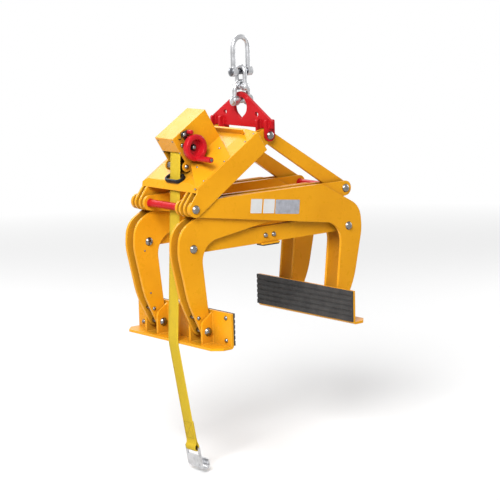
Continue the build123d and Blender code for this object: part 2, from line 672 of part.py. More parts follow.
def save_cover():
    section = [(-COVER_EDGE_Y, CHEEK_TOP), (-COVER_EDGE_Y, COVER_CREASE), (-COVER_FLAT_Y, COVER_TOP),
               (COVER_FLAT_Y, COVER_TOP), (COVER_BACK_Y, COVER_CREASE), (COVER_BACK_Y, CHEEK_TOP)]
    along_nose = (COVER_NOSE_X + UPPER_PIN_X + COVER_TOP * LINK_SIN) / LINK_COS
    nose = link_point(along_nose, COVER_TOP)
    lean = math.radians(COVER_NOSE_LEAN)
    nose_normal = (math.cos(lean), 0, -math.sin(lean))
    nose_plane = Plane(origin=(nose[0], 0, nose[1]), x_dir=(0, 1, 0), z_dir=nose_normal)
    up = Vector(-LINK_SIN, 0, LINK_COS)
    with BuildPart() as cover:
        with BuildSketch(link_section(COVER_START)):
            outline(section)
        extrude(amount=COVER_END - COVER_START)
        split(bisect_by=nose_plane, keep=Keep.TOP)
        underside = cover.faces().filter_by(lambda face: face.normal_at().dot(up) < -0.99)
        offset(amount=-COVER_T, openings=underside)
        with BuildSketch(side_plane(-SCISSOR_Y - SKIRT_IN)):
            cheek_face()
            with BuildSketch(mode=Mode.SUBTRACT):
                link_rectangle(COVER_END, 2 * LINK_LENGTH, -LINK_LENGTH, LINK_LENGTH)
        extrude(amount=COVER_T)
        lip_top = COVER_TOP + COVER_LIP_H
        lip_foot = COVER_TOP - COVER_T / 2
        lip_front_foot = cover_height(COVER_LIP_FRONT_Y) - COVER_T / 2
        with BuildSketch(link_section(COVER_LIP_AT)) as lip:
            outline([(COVER_LIP_FRONT_Y, lip_front_foot), (-COVER_FLAT_Y, lip_foot), (COVER_LIP_BACK_Y, lip_foot),
                     (COVER_LIP_BACK_Y, lip_top), (COVER_LIP_FRONT_Y, lip_top)])
            for lip_end in (COVER_LIP_FRONT_Y, COVER_LIP_BACK_Y):
                place = link_section(COVER_LIP_AT).from_local_coords(Vector(lip_end, lip_top))
                fillet(lip.vertices().sort_by_distance(place)[0], COVER_LIP_FILLET)
        extrude(amount=COVER_T)
        along_strap, _ = strap_on_link(COVER_TOP)
        along_grommet = along_strap + GROMMET_SHIFT
        with BuildSketch(link_deck(along_grommet, COVER_TOP - 2 * COVER_T)):
            with Locations((STRAP_Y, 0)):
                SlotOverall(GROMMET_L - 2 * GROMMET_WALL, GROMMET_W - 2 * GROMMET_WALL)
        extrude(amount=4 * COVER_T, mode=Mode.SUBTRACT)
    save("link_cover", cover.part)

    with BuildPart() as grommet:
        with BuildSketch(link_deck(along_grommet, COVER_TOP)):
            with Locations((STRAP_Y, 0)):
                SlotOverall(GROMMET_L, GROMMET_W)
                SlotOverall(GROMMET_L - 2 * GROMMET_WALL, GROMMET_W - 2 * GROMMET_WALL, mode=Mode.SUBTRACT)
        extrude(amount=GROMMET_H)
        rim = grommet.faces().filter_by(lambda face: face.normal_at().dot(up) > 0.99)
        fillet(rim.edges(), GROMMET_WALL / 3)
    save("strap_grommet", grommet.part)


def strap_line():
    """The strap's middle line from the drum to the pad flange, as two (X, Z) places."""
    drum = link_point(DRUM_ALONG, DRUM_UP)
    turn = (-PAD_FLANGE_X - STRAP_GAP - STRAP_T / 2, PAD_BOTTOM_Z + PAD_PLATE_T / 2)
    return tangent(drum, ROLL_R + ROLL_GAP + STRAP_T / 2, turn, 0, -1)


def strap_x(z):
    (top_x, top_z), (turn_x, turn_z) = strap_line()
    return top_x + (turn_x - top_x) * (top_z - z) / (top_z - turn_z)


def strap_on_link(up):
    """Where the strap's middle line crosses a height above the left link, as (along, Z)."""
    (top_x, top_z), (turn_x, turn_z) = strap_line()
    top_up = -(top_x + UPPER_PIN_X) * LINK_SIN + (top_z - UPPER_PIN_Z) * LINK_COS
    turn_up = -(turn_x + UPPER_PIN_X) * LINK_SIN + (turn_z - UPPER_PIN_Z) * LINK_COS
    share = (top_up - up) / (top_up - turn_up)
    x = top_x + share * (turn_x - top_x)
    z = top_z + share * (turn_z - top_z)
    along = (x + UPPER_PIN_X) * LINK_COS + (z - UPPER_PIN_Z) * LINK_SIN
    return along, z


def strap_tail(side, down):
    """A place on the strap's leaning lower run as (X, Z)."""
    turn_x, turn_z = strap_line()[1]
    lean = math.radians(STRAP_LEAN)
    x = turn_x + side * math.cos(lean) + down * math.sin(lean)
    z = turn_z + side * math.sin(lean) - down * math.cos(lean)
    return (x, z)


def save_strap():
    (top_x, top_z), (turn_x, turn_z) = strap_line()
    half = STRAP_T / 2
    split_z = UPPER_PIN_Z
    far_y = STRAP_Y + STRAP_W / 2
    split_low = split_z - STRAP_SPLIT_GAP
    with BuildPart() as strap_upper:
        with BuildSketch(side_plane(far_y)):
            outline([(top_x - half, top_z), (top_x + half, top_z),
                     (strap_x(split_z) + half, split_z), (strap_x(split_z) - half, split_z)])
        extrude(amount=STRAP_W)
    save("strap_upper", strap_upper.part)

    loop_in = math.hypot(HOOK_T / 2, HOOK_BAR_H / 2) + LOOP_CLEARANCE
    loop_out = loop_in + LOOP_WALL
    loop = strap_tail(0, STRAP_TAIL)
    with BuildPart() as strap_lower:
        with BuildSketch(side_plane(far_y)):
            outline([(strap_x(split_low) - half, split_low), (strap_x(split_low) + half, split_low),
                     (turn_x + half, turn_z), strap_tail(half, STRAP_TAIL), strap_tail(-half, STRAP_TAIL),
                     (turn_x - half, turn_z)])
            disc(loop, loop_out)
            disc(loop, loop_in, Mode.SUBTRACT)
        extrude(amount=STRAP_W)
    save("strap_lower", strap_lower.part)

    bar_top = turn_z - STRAP_TAIL + HOOK_BAR_H / 2
    bend_z = bar_top - HOOK_SHANK
    inner_r = HOOK_BEND_R - HOOK_T
    with BuildPart() as hook:
        with BuildSketch(side_plane(STRAP_Y + HOOK_W / 2)):
            with Locations((turn_x, (bar_top + bend_z) / 2)):
                Rectangle(HOOK_T, HOOK_SHANK)
            centre = (turn_x - HOOK_T / 2 + HOOK_BEND_R, bend_z)
            with BuildSketch() as curl:
                disc(centre, HOOK_BEND_R)
                disc(centre, inner_r, Mode.SUBTRACT)
                with Locations((centre[0], bend_z + HOOK_BEND_R)):
                    Rectangle(4 * HOOK_BEND_R, 2 * HOOK_BEND_R, mode=Mode.SUBTRACT)
            with Locations((centre[0] + HOOK_BEND_R - HOOK_T / 2, bend_z + HOOK_TIP / 2)):
                Rectangle(HOOK_T, HOOK_TIP)
        extrude(amount=HOOK_W)
        window_w = STRAP_W + 2 * LOOP_WALL
        with Locations((turn_x, STRAP_Y, bar_top - HOOK_BAR_H - HOOK_WINDOW_H / 2)):
            Box(2 * HOOK_T, window_w, HOOK_WINDOW_H, mode=Mode.SUBTRACT)
    turn_axis = Axis((turn_x, 0, turn_z), (0, 1, 0))
    save("strap_hook", hook.part.rotate(turn_axis, -STRAP_LEAN))


def link_rectangle(start, end, low, high):
    """A rectangle in the left link's own directions, added to the open XZ sketch."""
    outline([link_point(start, low), link_point(end, low), link_point(end, high), link_point(start, high)])


def beside_wheel(turn, radius):
    """Where something round of that radius just clears the handwheel's rim, as (X, Z)."""
    drum = link_point(DRUM_ALONG, DRUM_UP)
    away = WHEEL_R + PAWL_WHEEL_GAP + radius
    angle = math.radians(turn)
    return (drum[0] + away * math.cos(angle), drum[1] + away * math.sin(angle))


def apron_wedge():
    """The slope in front of the winch housing, a slanted four-sided patch on the cover."""
    with BuildPart() as wedge:
        with BuildSketch(link_section(APRON_EDGE_START)):
            outline([(BOX_FRONT_Y, APRON_TOP), (BOX_FRONT_Y, COVER_TOP), (-COVER_FLAT_Y, COVER_TOP),
                     (APRON_EDGE_Y, cover_height(APRON_EDGE_Y))])
        extrude(amount=BOX_END - APRON_EDGE_START)
        with BuildSketch(link_deck(0, 0)):
            outline([(BOX_FRONT_Y, -APRON_START), (BOX_FRONT_Y, -BOX_END),
                     (APRON_EDGE_Y, -APRON_EDGE_END), (APRON_EDGE_Y, -APRON_EDGE_START)])
        extrude(amount=BOX_TOP, mode=Mode.INTERSECT)
    return wedge.part


def save_housing():
    drum = link_point(DRUM_ALONG, DRUM_UP)
    ear = link_point(EAR_ALONG, EAR_UP)
    pivot = beside_wheel(PAWL_PIVOT_TURN, PAWL_R)
    width = BOX_BACK_Y - BOX_FRONT_Y
    with BuildPart() as housing:
        with BuildSketch(side_plane(BOX_BACK_Y)):
            link_rectangle(BOX_START, BOX_END, COVER_TOP, BOX_TOP)
            disc(ear, EAR_R)
            link_rectangle(EAR_ALONG, BOX_START + EAR_R, EAR_UP - EAR_R, EAR_UP + EAR_R)
        extrude(amount=width)
        with BuildSketch(side_plane(BOX_BACK_Y - BOX_T)):
            link_rectangle(BOX_START + BOX_T, BOX_END - BOX_T, COVER_TOP, BOX_TOP - BOX_T)
            link_rectangle(EAR_ALONG - 2 * EAR_R, BOX_END - BOX_T, COVER_TOP, BOX_MOUTH_TOP)
        extrude(amount=width - 2 * BOX_T, mode=Mode.SUBTRACT)
        add(apron_wedge())
        for centre, radius in ((drum, SHAFT_D / 2 + RUN_FIT), (ear, ROLLER_SHAFT_D / 2 + RUN_FIT)):
            with BuildSketch(side_plane(BOX_BACK_Y)):
                disc(centre, radius)
            extrude(amount=width, mode=Mode.SUBTRACT)
    save("winch_housing", housing.part)

    with BuildPart() as roller:
        rod(ear[0], ear[1], ROLLER_R, BOX_FRONT_Y + BOX_T, BOX_BACK_Y - BOX_T)
        rod(ear[0], ear[1], ROLLER_SHAFT_D / 2, BOX_FRONT_Y, BOX_BACK_Y)
        with Locations((ear[0], BOX_FRONT_Y, ear[1])):
            add(domed_head(ROLLER_HEAD_D, ROLLER_HEAD_H, -1))
        with Locations((ear[0], BOX_BACK_Y, ear[1])):
            add(domed_head(ROLLER_HEAD_D, ROLLER_HEAD_H, 1))
    save("guide_roller", roller.part)

    ratchet_y = BOX_FRONT_Y - RATCHET_GAP
    with BuildPart() as pawl_bolt:
        with Locations((pivot[0], ratchet_y - PAWL_T - LAYER_GAP / 2, pivot[1])):
            add(domed_head(2 * PAWL_R, PAWL_BOLT_D, -1))
        rod(pivot[0], pivot[1], PAWL_R, BOX_FRONT_Y - RATCHET_GAP + LAYER_GAP / 2, BOX_FRONT_Y)
        rod(pivot[0], pivot[1], PAWL_BOLT_D / 2, ratchet_y - PAWL_T - LAYER_GAP / 2, BOX_FRONT_Y)
    save("pawl_bolt", pawl_bolt.part)

    away = math.dist(pivot, drum)
    share = (away - RATCHET_R - PAWL_TIP_GAP - PAWL_TIP_R) / away
    tip = (pivot[0] + (drum[0] - pivot[0]) * share, pivot[1] + (drum[1] - pivot[1]) * share)
    knob = beside_wheel(PAWL_KNOB_TURN, PAWL_KNOB_R)
    with BuildPart() as pawl:
        with BuildSketch(side_plane(ratchet_y)):
            bar_between(pivot, PAWL_R, tip, PAWL_TIP_R)
            bar_between(pivot, PAWL_R, knob, PAWL_KNOB_R)
            disc(pivot, PAWL_BOLT_D / 2 + RUN_FIT, Mode.SUBTRACT)
        extrude(amount=PAWL_T)
    save("pawl", pawl.part)
    with BuildPart() as pawl_knob:
        rod(knob[0], knob[1], PAWL_KNOB_R, ratchet_y - PAWL_T - PAWL_KNOB_LENGTH, ratchet_y - PAWL_T)
        fillet(pawl_knob.faces().sort_by(Axis.Y)[0].edges(), PAWL_KNOB_R / 2)
    save("pawl_knob", pawl_knob.part)


def ratchet_points(drum):
    """Saw teeth round the drum's axis."""
    points = []
    for tooth in range(RATCHET_TEETH):
        angle = 2 * math.pi * tooth / RATCHET_TEETH
        for radius in (RATCHET_R, RATCHET_R - RATCHET_TOOTH):
            points.append((drum[0] + radius * math.cos(angle), drum[1] + radius * math.sin(angle)))
    return points


def save_drum():
    drum = link_point(DRUM_ALONG, DRUM_UP)
    ratchet_front = BOX_FRONT_Y - RATCHET_GAP - RATCHET_T
    floor_y = ratchet_front - WHEEL_FLOOR_T
    rim_y = ratchet_front - WHEEL_DEPTH
    with BuildPart() as shaft:
        rod(drum[0], drum[1], SHAFT_D / 2, floor_y, BOX_BACK_Y + BOX_T)
    save("drum_shaft", shaft.part)

    with BuildPart() as roll:
        with BuildSketch(side_plane(STRAP_Y + STRAP_W / 2)):
            disc(drum, ROLL_R)
            disc(drum, SHAFT_D / 2, Mode.SUBTRACT)
        extrude(amount=STRAP_W)
    save("strap_roll", roll.part)

    with BuildPart() as ratchet:
        with BuildSketch(side_plane(BOX_FRONT_Y - RATCHET_GAP)):
            outline(ratchet_points(drum))
            disc(drum, SHAFT_D / 2, Mode.SUBTRACT)
        extrude(amount=RATCHET_T)
    save("ratchet_wheel", ratchet.part)

    with BuildPart() as wheel:
        with BuildSketch(Plane.XY) as profile:
            back_edge = (WHEEL_BACK_R, ratchet_front)
            waist = (WHEEL_R, ratchet_front - WHEEL_R + WHEEL_BACK_R)
            rim = (WHEEL_R, rim_y)
            bowl = (WHEEL_BOWL_R, rim_y)
            outline([(SHAFT_D / 2, ratchet_front), back_edge, waist, rim, bowl,
                     (WHEEL_FLOOR_R, floor_y), (SHAFT_D / 2, floor_y)])
            for place, radius in ((waist, WHEEL_ROUND), (rim, WHEEL_ROUND), (bowl, WHEEL_LIP_ROUND)):
                fillet(profile.vertices().sort_by_distance(Vector(*place))[0], radius)
        revolve(axis=Axis.Y)
        with BuildSketch(side_plane(floor_y)):
            disc((0, -CRANK_R), CRANK_BOSS_R)
        extrude(amount=WHEEL_DEPTH - WHEEL_FLOOR_T)
    placed_wheel = wheel.part.moved(Location((drum[0], 0, drum[1])))
    save("handwheel", placed_wheel)

    with BuildPart() as hub_nut:
        with Locations((drum[0], floor_y, drum[1])):
            add(domed_head(HUB_NUT_D, HUB_NUT_H, -1))
    save("hub_nut", hub_nut.part)

    crank = (drum[0], drum[1] - CRANK_R)
    grip_back = rim_y - GRIP_GAP_ENDS
    grip_front = grip_back - GRIP_LENGTH
    head_back = grip_front - GRIP_GAP_ENDS
    with BuildPart() as spindle:
        rod(crank[0], crank[1], SPINDLE_D / 2, head_back - SPINDLE_HEAD_H, rim_y)
        rod(crank[0], crank[1], SPINDLE_HEAD_D / 2, head_back - SPINDLE_HEAD_H, head_back)
    save("crank_spindle", spindle.part)
    with BuildPart() as grip:
        with BuildSketch(side_plane(grip_back)):
            disc(crank, GRIP_D / 2)
            disc(crank, SPINDLE_D / 2 + RUN_FIT, Mode.SUBTRACT)
        extrude(amount=GRIP_LENGTH)
    save("crank_grip", grip.part)


os.makedirs("parts", exist_ok=True)
save_shackles()
save_yoke()
save_arms()
save_links()
save_bars()
save_pads()
save_cover()
save_strap()
save_housing()
save_drum()
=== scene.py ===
"""Looks of the concrete barrier lifter: materials, strap, small fittings, light and camera."""
import json
import math

import bmesh
import bpy
from mathutils import Matrix, Vector


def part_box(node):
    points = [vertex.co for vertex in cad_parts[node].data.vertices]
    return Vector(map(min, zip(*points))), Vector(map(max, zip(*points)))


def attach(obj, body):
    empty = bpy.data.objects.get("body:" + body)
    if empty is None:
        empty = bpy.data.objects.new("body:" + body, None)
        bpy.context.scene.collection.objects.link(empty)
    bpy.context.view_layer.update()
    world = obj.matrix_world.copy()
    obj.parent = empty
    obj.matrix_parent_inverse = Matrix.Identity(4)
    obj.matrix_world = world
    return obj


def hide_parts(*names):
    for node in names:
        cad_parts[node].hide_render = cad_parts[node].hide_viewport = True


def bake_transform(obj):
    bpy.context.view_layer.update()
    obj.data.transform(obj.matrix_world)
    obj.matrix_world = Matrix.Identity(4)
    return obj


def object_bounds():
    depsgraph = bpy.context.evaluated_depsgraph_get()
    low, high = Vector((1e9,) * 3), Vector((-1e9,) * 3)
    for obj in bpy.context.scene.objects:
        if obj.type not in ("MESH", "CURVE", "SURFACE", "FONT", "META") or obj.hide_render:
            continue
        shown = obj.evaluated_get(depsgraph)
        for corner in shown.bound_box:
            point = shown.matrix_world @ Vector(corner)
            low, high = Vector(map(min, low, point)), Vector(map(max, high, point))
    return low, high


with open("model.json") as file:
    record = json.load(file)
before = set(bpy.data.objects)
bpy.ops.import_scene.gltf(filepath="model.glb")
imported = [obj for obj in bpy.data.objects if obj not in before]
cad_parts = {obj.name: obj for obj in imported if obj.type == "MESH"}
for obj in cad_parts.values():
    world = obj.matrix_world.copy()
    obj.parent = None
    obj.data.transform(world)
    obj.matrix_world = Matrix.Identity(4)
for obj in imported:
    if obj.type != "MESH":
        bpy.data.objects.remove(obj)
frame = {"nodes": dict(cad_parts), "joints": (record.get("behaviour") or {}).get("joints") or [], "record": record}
cad_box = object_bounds()
nodes = frame["nodes"]
scene = bpy.context.scene
JOINT = {joint["name"]: Vector(joint["pos_m"]) for joint in frame["joints"]}
MM = 0.001

# Places in the row's frame
LOAD_TOP_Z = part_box("front_foot_rubber")[0].z
LINK_LOW = JOINT["right_arm_fold"]
ALONG_LINK = (JOINT["grip_fold"] - LINK_LOW).normalized()
OFF_LINK = Vector((-ALONG_LINK.z, 0, ALONG_LINK.x))
TO_FRONT = Vector((0, -1, 0))


def row(x, y, z):
    """Metres in the row's frame for the source's millimetres, with heights from the load's top."""
    return Vector((x * MM, y * MM, z * MM + LOAD_TOP_Z))


def on_face(x, face_y, z):
    """A place by the source's x and z on a face square to Y, whose y is in metres."""
    place = row(x, 0, z)
    place.y = face_y
    return place


def on_link(along, y, off):
    """A place on the left link in millimetres: along it, across it and square to it."""
    return LINK_LOW + ALONG_LINK * along * MM + OFF_LINK * off * MM + Vector((0, y * MM, 0))


# Material helpers
def new_material(name):
    """A material with its node tree and its shader."""
    material = bpy.data.materials.new(name)
    material.use_nodes = True
    tree = material.node_tree
    return material, tree, tree.nodes["Principled BSDF"]


def add_node(tree, kind, **values):
    """A node with its own settings or its inputs' constants set."""
    node = tree.nodes.new(kind)
    for key, value in values.items():
        if hasattr(node, key):
            setattr(node, key, value)
        else:
            node.inputs[key.replace("_", " ")].default_value = value
    return node


def feed(tree, socket, value):
    """Links a socket to another one or sets its constant."""
    if isinstance(value, bpy.types.NodeSocket):
        tree.links.new(value, socket)
    else:
        socket.default_value = value


def noise(tree, scale, detail=3.0, rough=0.5, stretch=None):
    """Noise in the object's own coordinates, stretched where that is given."""
    coords = add_node(tree, "ShaderNodeTexCoord")
    texture = add_node(tree, "ShaderNodeTexNoise", Scale=scale, Detail=detail, Roughness=rough)
    place = coords.outputs["Object"]
    if stretch:
        mapping = add_node(tree, "ShaderNodeMapping", Scale=stretch)
        tree.links.new(place, mapping.inputs["Vector"])
        place = mapping.outputs["Vector"]
    tree.links.new(place, texture.inputs["Vector"])
    return texture.outputs["Fac"]


def ramp(tree, source, low_at, low, high_at, high):
    """A colour that goes from low to high with the source."""
    node = add_node(tree, "ShaderNodeValToRGB")
    for element, place, colour in zip(node.color_ramp.elements, (low_at, high_at), (low, high)):
        element.position = place
        element.color = colour
    tree.links.new(source, node.inputs["Fac"])
    return node.outputs["Color"]


def mix_colour(tree, factor, first, second):
    """The first colour, and more of the second as the factor grows."""
    node = add_node(tree, "ShaderNodeMix", data_type="RGBA")
    for index, value in ((0, factor), (6, first), (7, second)):
        feed(tree, node.inputs[index], value)
    return node.outputs[2]


def map_range(tree, source, low, high, to_low, to_high):
    """The source's range low to high, mapped to another one and clamped."""
    node = add_node(tree, "ShaderNodeMapRange")
    for index, value in enumerate((source, low, high, to_low, to_high)):
        feed(tree, node.inputs[index], value)
    return node.outputs[0]


def maths(tree, operation, first, second=0.0):
    """One arithmetic step on two values."""
    node = add_node(tree, "ShaderNodeMath", operation=operation)
    feed(tree, node.inputs[0], first)
    feed(tree, node.inputs[1], second)
    return node.outputs[0]


def bump(tree, height, strength, distance, normal=None):
    """A normal roughened by a height, on top of another normal where that is given."""
    node = add_node(tree, "ShaderNodeBump", Strength=strength, Distance=distance)
    tree.links.new(height, node.inputs["Height"])
    if normal is not None:
        tree.links.new(normal, node.inputs["Normal"])
    return node.outputs["Normal"]


def soft_edges(tree, radius):
    """The normal of a surface whose sharp edges are rounded."""
    return add_node(tree, "ShaderNodeBevel", samples=6, Radius=radius).outputs["Normal"]


def edge_mask(tree, radius, low, high):
    """1 near sharp edges, from how far the rounded normal leaves the true one."""
    geometry = add_node(tree, "ShaderNodeNewGeometry")
    dot = add_node(tree, "ShaderNodeVectorMath", operation="DOT_PRODUCT")
    tree.links.new(geometry.outputs["True Normal"], dot.inputs[0])
    tree.links.new(soft_edges(tree, radius), dot.inputs[1])
    return map_range(tree, dot.outputs["Value"], high, low, 0.0, 1.0)


def wire(tree, shader, base, rough, normal):
    """Gives a shader its colour, roughness and normal."""
    for name, value in (("Base Color", base), ("Roughness", rough), ("Normal", normal)):
        feed(tree, shader.inputs[name], value)


# Materials, with lengths in metres
PAINT_EDGE, METAL_EDGE, MOULDED_EDGE = 0.0016, 0.0008, 0.0012
PAINT_ROUGH = 0.30
# Reach of the painted shade that darkens the enamel in corners and recesses
PAINTED_SHADE_REACH = 0.07
CLOUD_SHADE = 0.72
DUST = (0.30, 0.20, 0.08, 1)
STRAP_DIRT = (0.30, 0.20, 0.05, 1)
STRAP_GLEAM = (1.0, 0.72, 0.10, 1)
STRAP_W, STRAP_T, STRAP_LINE = 0.050, 0.003, 0.0195
WARP_PITCH, TWILL_PITCH = 0.0022, 0.0034


def paint(name, colour, deep, worn_and_highlight, tint, painted_shade):
    """Gloss enamel with orange peel, lighter worn edges that are partly a painted highlight, dust specks and
    painted shade in corners and recesses.
    """
    material, tree, shader = new_material(name)
    base = ramp(tree, noise(tree, 7.0, 4.0, 0.55), 0.3, deep, 0.62, colour)
    # Worn edges: sharp edges turn to a lighter colour in random patches, partly wear and partly a painted edge
    # highlight
    patches = map_range(tree, noise(tree, 34.0, 5.0, 0.65), 0.46, 0.62, 0.15, 0.85)
    wear_and_highlight = maths(tree, "MULTIPLY", edge_mask(tree, PAINT_EDGE, 0.80, 0.995), patches)
    base = mix_colour(tree, wear_and_highlight, base, worn_and_highlight)
    specks = map_range(tree, noise(tree, 260.0, 2.0, 0.6), 0.66, 0.74, 0.0, 0.10)
    base = mix_colour(tree, specks, base, DUST)
    # Painted shade: ambient occlusion darkens the colour towards the shade colour in corners, recesses and between
    # parts
    occlusion = add_node(tree, "ShaderNodeAmbientOcclusion", samples=8, Distance=PAINTED_SHADE_REACH)
    corners = map_range(tree, occlusion.outputs["AO"], 0.25, 0.85, 0.75, 0.0)
    base = mix_colour(tree, corners, base, painted_shade)
    rough = map_range(tree, noise(tree, 40.0, 4.0, 0.6), 0.3, 0.7,
                      PAINT_ROUGH - 0.06, PAINT_ROUGH + 0.08)
    peel = bump(tree, noise(tree, 420.0, 2.0, 0.4), 0.10, 0.0006, soft_edges(tree, PAINT_EDGE))
    wire(tree, shader, base, rough, peel)
    shader.inputs["Specular Tint"].default_value = tint
    return material


def metal(name, colour, rough):
    """Plated or oiled steel with uneven gloss, fine scratches and darker clouds."""
    material, tree, shader = new_material(name)
    clouds = noise(tree, 60.0, 4.0, 0.6)
    dark = tuple(CLOUD_SHADE * channel for channel in colour[:3]) + (1,)
    base = ramp(tree, clouds, 0.32, dark, 0.6, colour)
    uneven = map_range(tree, clouds, 0.3, 0.7, rough - 0.04, rough + 0.10)
    scratches = noise(tree, 240.0, 3.0, 0.6, (1.0, 0.08, 1.0))
    wire(tree, shader, base, uneven,
         bump(tree, scratches, 0.12, 0.0003, soft_edges(tree, METAL_EDGE)))
    shader.inputs["Metallic"].default_value = 1.0
    return material


def moulded(name, colour, deep, rough, grain, shine=0.5, tint=(1, 1, 1, 1)):
    """Moulded plastic or rubber with a fine grain, a mottled colour and uneven gloss."""
    material, tree, shader = new_material(name)
    base = ramp(tree, noise(tree, 24.0, 4.0, 0.6), 0.3, deep, 0.66, colour)
    uneven = map_range(tree, noise(tree, 80.0), 0.3, 0.7, rough - 0.07, rough + 0.09)
    pores = noise(tree, grain, 3.0, 0.6)
    wire(tree, shader, base, uneven,
         bump(tree, pores, 0.22, 0.0004, soft_edges(tree, MOULDED_EDGE)))
    shader.inputs["Specular IOR Level"].default_value = shine
    shader.inputs["Specular Tint"].default_value = tint
    return material


def webbing(name, colour, deep, thread):
    """Woven strap with twill ribs, selvedge lines and dirt; its UV is metres across and along."""
    material, tree, shader = new_material(name)
    uv = add_node(tree, "ShaderNodeUVMap", uv_map="weave")
    split = add_node(tree, "ShaderNodeSeparateXYZ")
    tree.links.new(uv.outputs["UV"], split.inputs[0])
    across, along = split.outputs[0], split.outputs[1]
    warp = maths(tree, "SINE", maths(tree, "MULTIPLY", across, 2 * math.pi / WARP_PITCH))
    slant = maths(tree, "ADD", across, along)
    twill = maths(tree, "SINE", maths(tree, "MULTIPLY", slant, 2 * math.pi / TWILL_PITCH))
    weave = maths(tree, "MULTIPLY", maths(tree, "ADD", warp, 1.4), maths(tree, "ADD", twill, 1.2))
    height = map_range(tree, weave, 0.0, 5.3, 0.0, 1.0)
    base = mix_colour(tree, height, deep, colour)
    from_middle = maths(tree, "ABSOLUTE", maths(tree, "SUBTRACT", across, STRAP_W / 2))
    from_line = maths(tree, "ABSOLUTE", maths(tree, "SUBTRACT", from_middle, STRAP_LINE))
    base = mix_colour(tree, map_range(tree, from_line, 0.0006, 0.0011, 0.7, 0.0), base, thread)
    dirt = map_range(tree, noise(tree, 26.0, 5.0, 0.65), 0.54, 0.78, 0.0, 0.22)
    base = mix_colour(tree, dirt, base, STRAP_DIRT)
    wire(tree, shader, base, 0.78, bump(tree, height, 0.55, 0.0008))
    shader.inputs["Sheen Weight"].default_value = 0.12
    shader.inputs["Sheen Tint"].default_value = STRAP_GLEAM
    shader.inputs["Specular Tint"].default_value = STRAP_GLEAM
    shader.inputs["Specular IOR Level"].default_value = 0.2
    return material


# In each paint the third colour is the lighter worn edge, partly wear and partly a painted edge highlight; the
# last colour is the painted shade of corners and recesses
YELLOW = paint("yellow_enamel", (0.84, 0.370, 0.011, 1), (0.77, 0.325, 0.009, 1),
               (0.94, 0.60, 0.12, 1), (1.0, 0.50, 0.03, 1), (0.34, 0.165, 0.016, 1))
RED = paint("red_enamel", (0.54, 0.010, 0.016, 1), (0.46, 0.007, 0.012, 1),
            (0.74, 0.08, 0.07, 1), (1.0, 0.03, 0.03, 1), (0.25, 0.008, 0.010, 1))
RED_PLASTIC = moulded("red_moulding", (0.53, 0.010, 0.018, 1), (0.44, 0.008, 0.014, 1),
                      0.26, 900.0, tint=(1.0, 0.22, 0.22, 1))
CHROME = metal("bright_zinc", (0.58, 0.585, 0.60, 1), 0.30)
PIN_STEEL = metal("dull_zinc", (0.22, 0.215, 0.21, 1), 0.20)
DARK_STEEL = metal("oiled_steel", (0.16, 0.165, 0.18, 1), 0.32)
RUBBER = moulded("dark_rubber", (0.040, 0.038, 0.037, 1), (0.020, 0.019, 0.019, 1), 0.72, 700.0)
BLACK = moulded("black_moulding", (0.010, 0.010, 0.011, 1), (0.005, 0.005, 0.006, 1),
                0.34, 800.0, shine=0.14)
STRAP = webbing("strap_webbing", (0.78, 0.55, 0.042, 1), (0.55, 0.375, 0.026, 1),
                (0.58, 0.40, 0.024, 1))
THREAD = moulded("strap_thread", (0.30, 0.20, 0.03, 1), (0.20, 0.13, 0.02, 1), 0.70, 1500.0)
WHITE_PLATE = moulded("white_plate", (0.74, 0.74, 0.73, 1), (0.68, 0.68, 0.67, 1), 0.42, 1200.0)
GREY_PLATE = metal("grey_plate", (0.46, 0.47, 0.52, 1), 0.42)

# Finishes of the CAD nodes: bows, hook and two pins are brighter than the other plated steel
BY_SLOT = {"yellow_paint": YELLOW, "red_paint": RED, "red_plastic": RED_PLASTIC,
           "zinc_steel": PIN_STEEL, "dark_steel": DARK_STEEL, "strap_web": STRAP,
           "black_plastic": BLACK, "dark_rubber": RUBBER}
BRIGHT = ("upper_bow", "middle_bow", "middle_pin", "lower_bow", "lower_pin", "strap_hook")
for part in frame["record"]["subparts"]:
    mesh = nodes[part["node"]].data
    mesh.materials.clear()
    mesh.materials.append(CHROME if part["node"] in BRIGHT else BY_SLOT[part["material_slot"]])


# Mesh helpers: a shape is a pair of lists, places and faces
def mesh_object(name, shapes, material, smooth=True):
    """One object from several shapes."""
    verts = []
    faces = []
    for places, borders in shapes:
        start = len(verts)
        verts += [tuple(place) for place in places]
        faces += [tuple(start + corner for corner in border) for border in borders]
    mesh = bpy.data.meshes.new(name)
    mesh.from_pydata(verts, [], faces)
    mesh.materials.append(material)
    for polygon in mesh.polygons:
        polygon.use_smooth = smooth
    thing = bpy.data.objects.new(name, mesh)
    scene.collection.objects.link(thing)
    return thing


def fitting(name, shapes, material, body, smooth=True):
    """A small piece that rides on a body, in the given material."""
    thing = mesh_object(name, shapes, material, smooth)
    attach(thing, body)


def ring_faces(rings, sides):
    """Faces between rings of the same number of places, with both ends closed."""
    faces = []
    for ring in range(rings - 1):
        for side in range(sides):
            after = (side + 1) % sides
            low = ring * sides
            high = low + sides
            faces.append((low + side, low + after, high + after, high + side))
    faces.append(tuple(range(sides))[::-1])
    faces.append(tuple(range((rings - 1) * sides, rings * sides)))
    return faces


def turned(profile, axis_at, axis_way, sides=28):
    """A turned form: profile is (radius, along) in millimetres, along an axis from axis_at."""
    way = Vector(axis_way).normalized()
    first = way.orthogonal().normalized()
    second = way.cross(first)
    places = []
    for radius, along in profile:
        for side in range(sides):
            turn = 2 * math.pi * side / sides
            spoke = first * math.cos(turn) + second * math.sin(turn)
            places.append(Vector(axis_at) + way * along * MM + spoke * radius * MM)
    return places, ring_faces(len(profile), sides)


ASKEW = Vector((0.31, 0.87, 0.38))


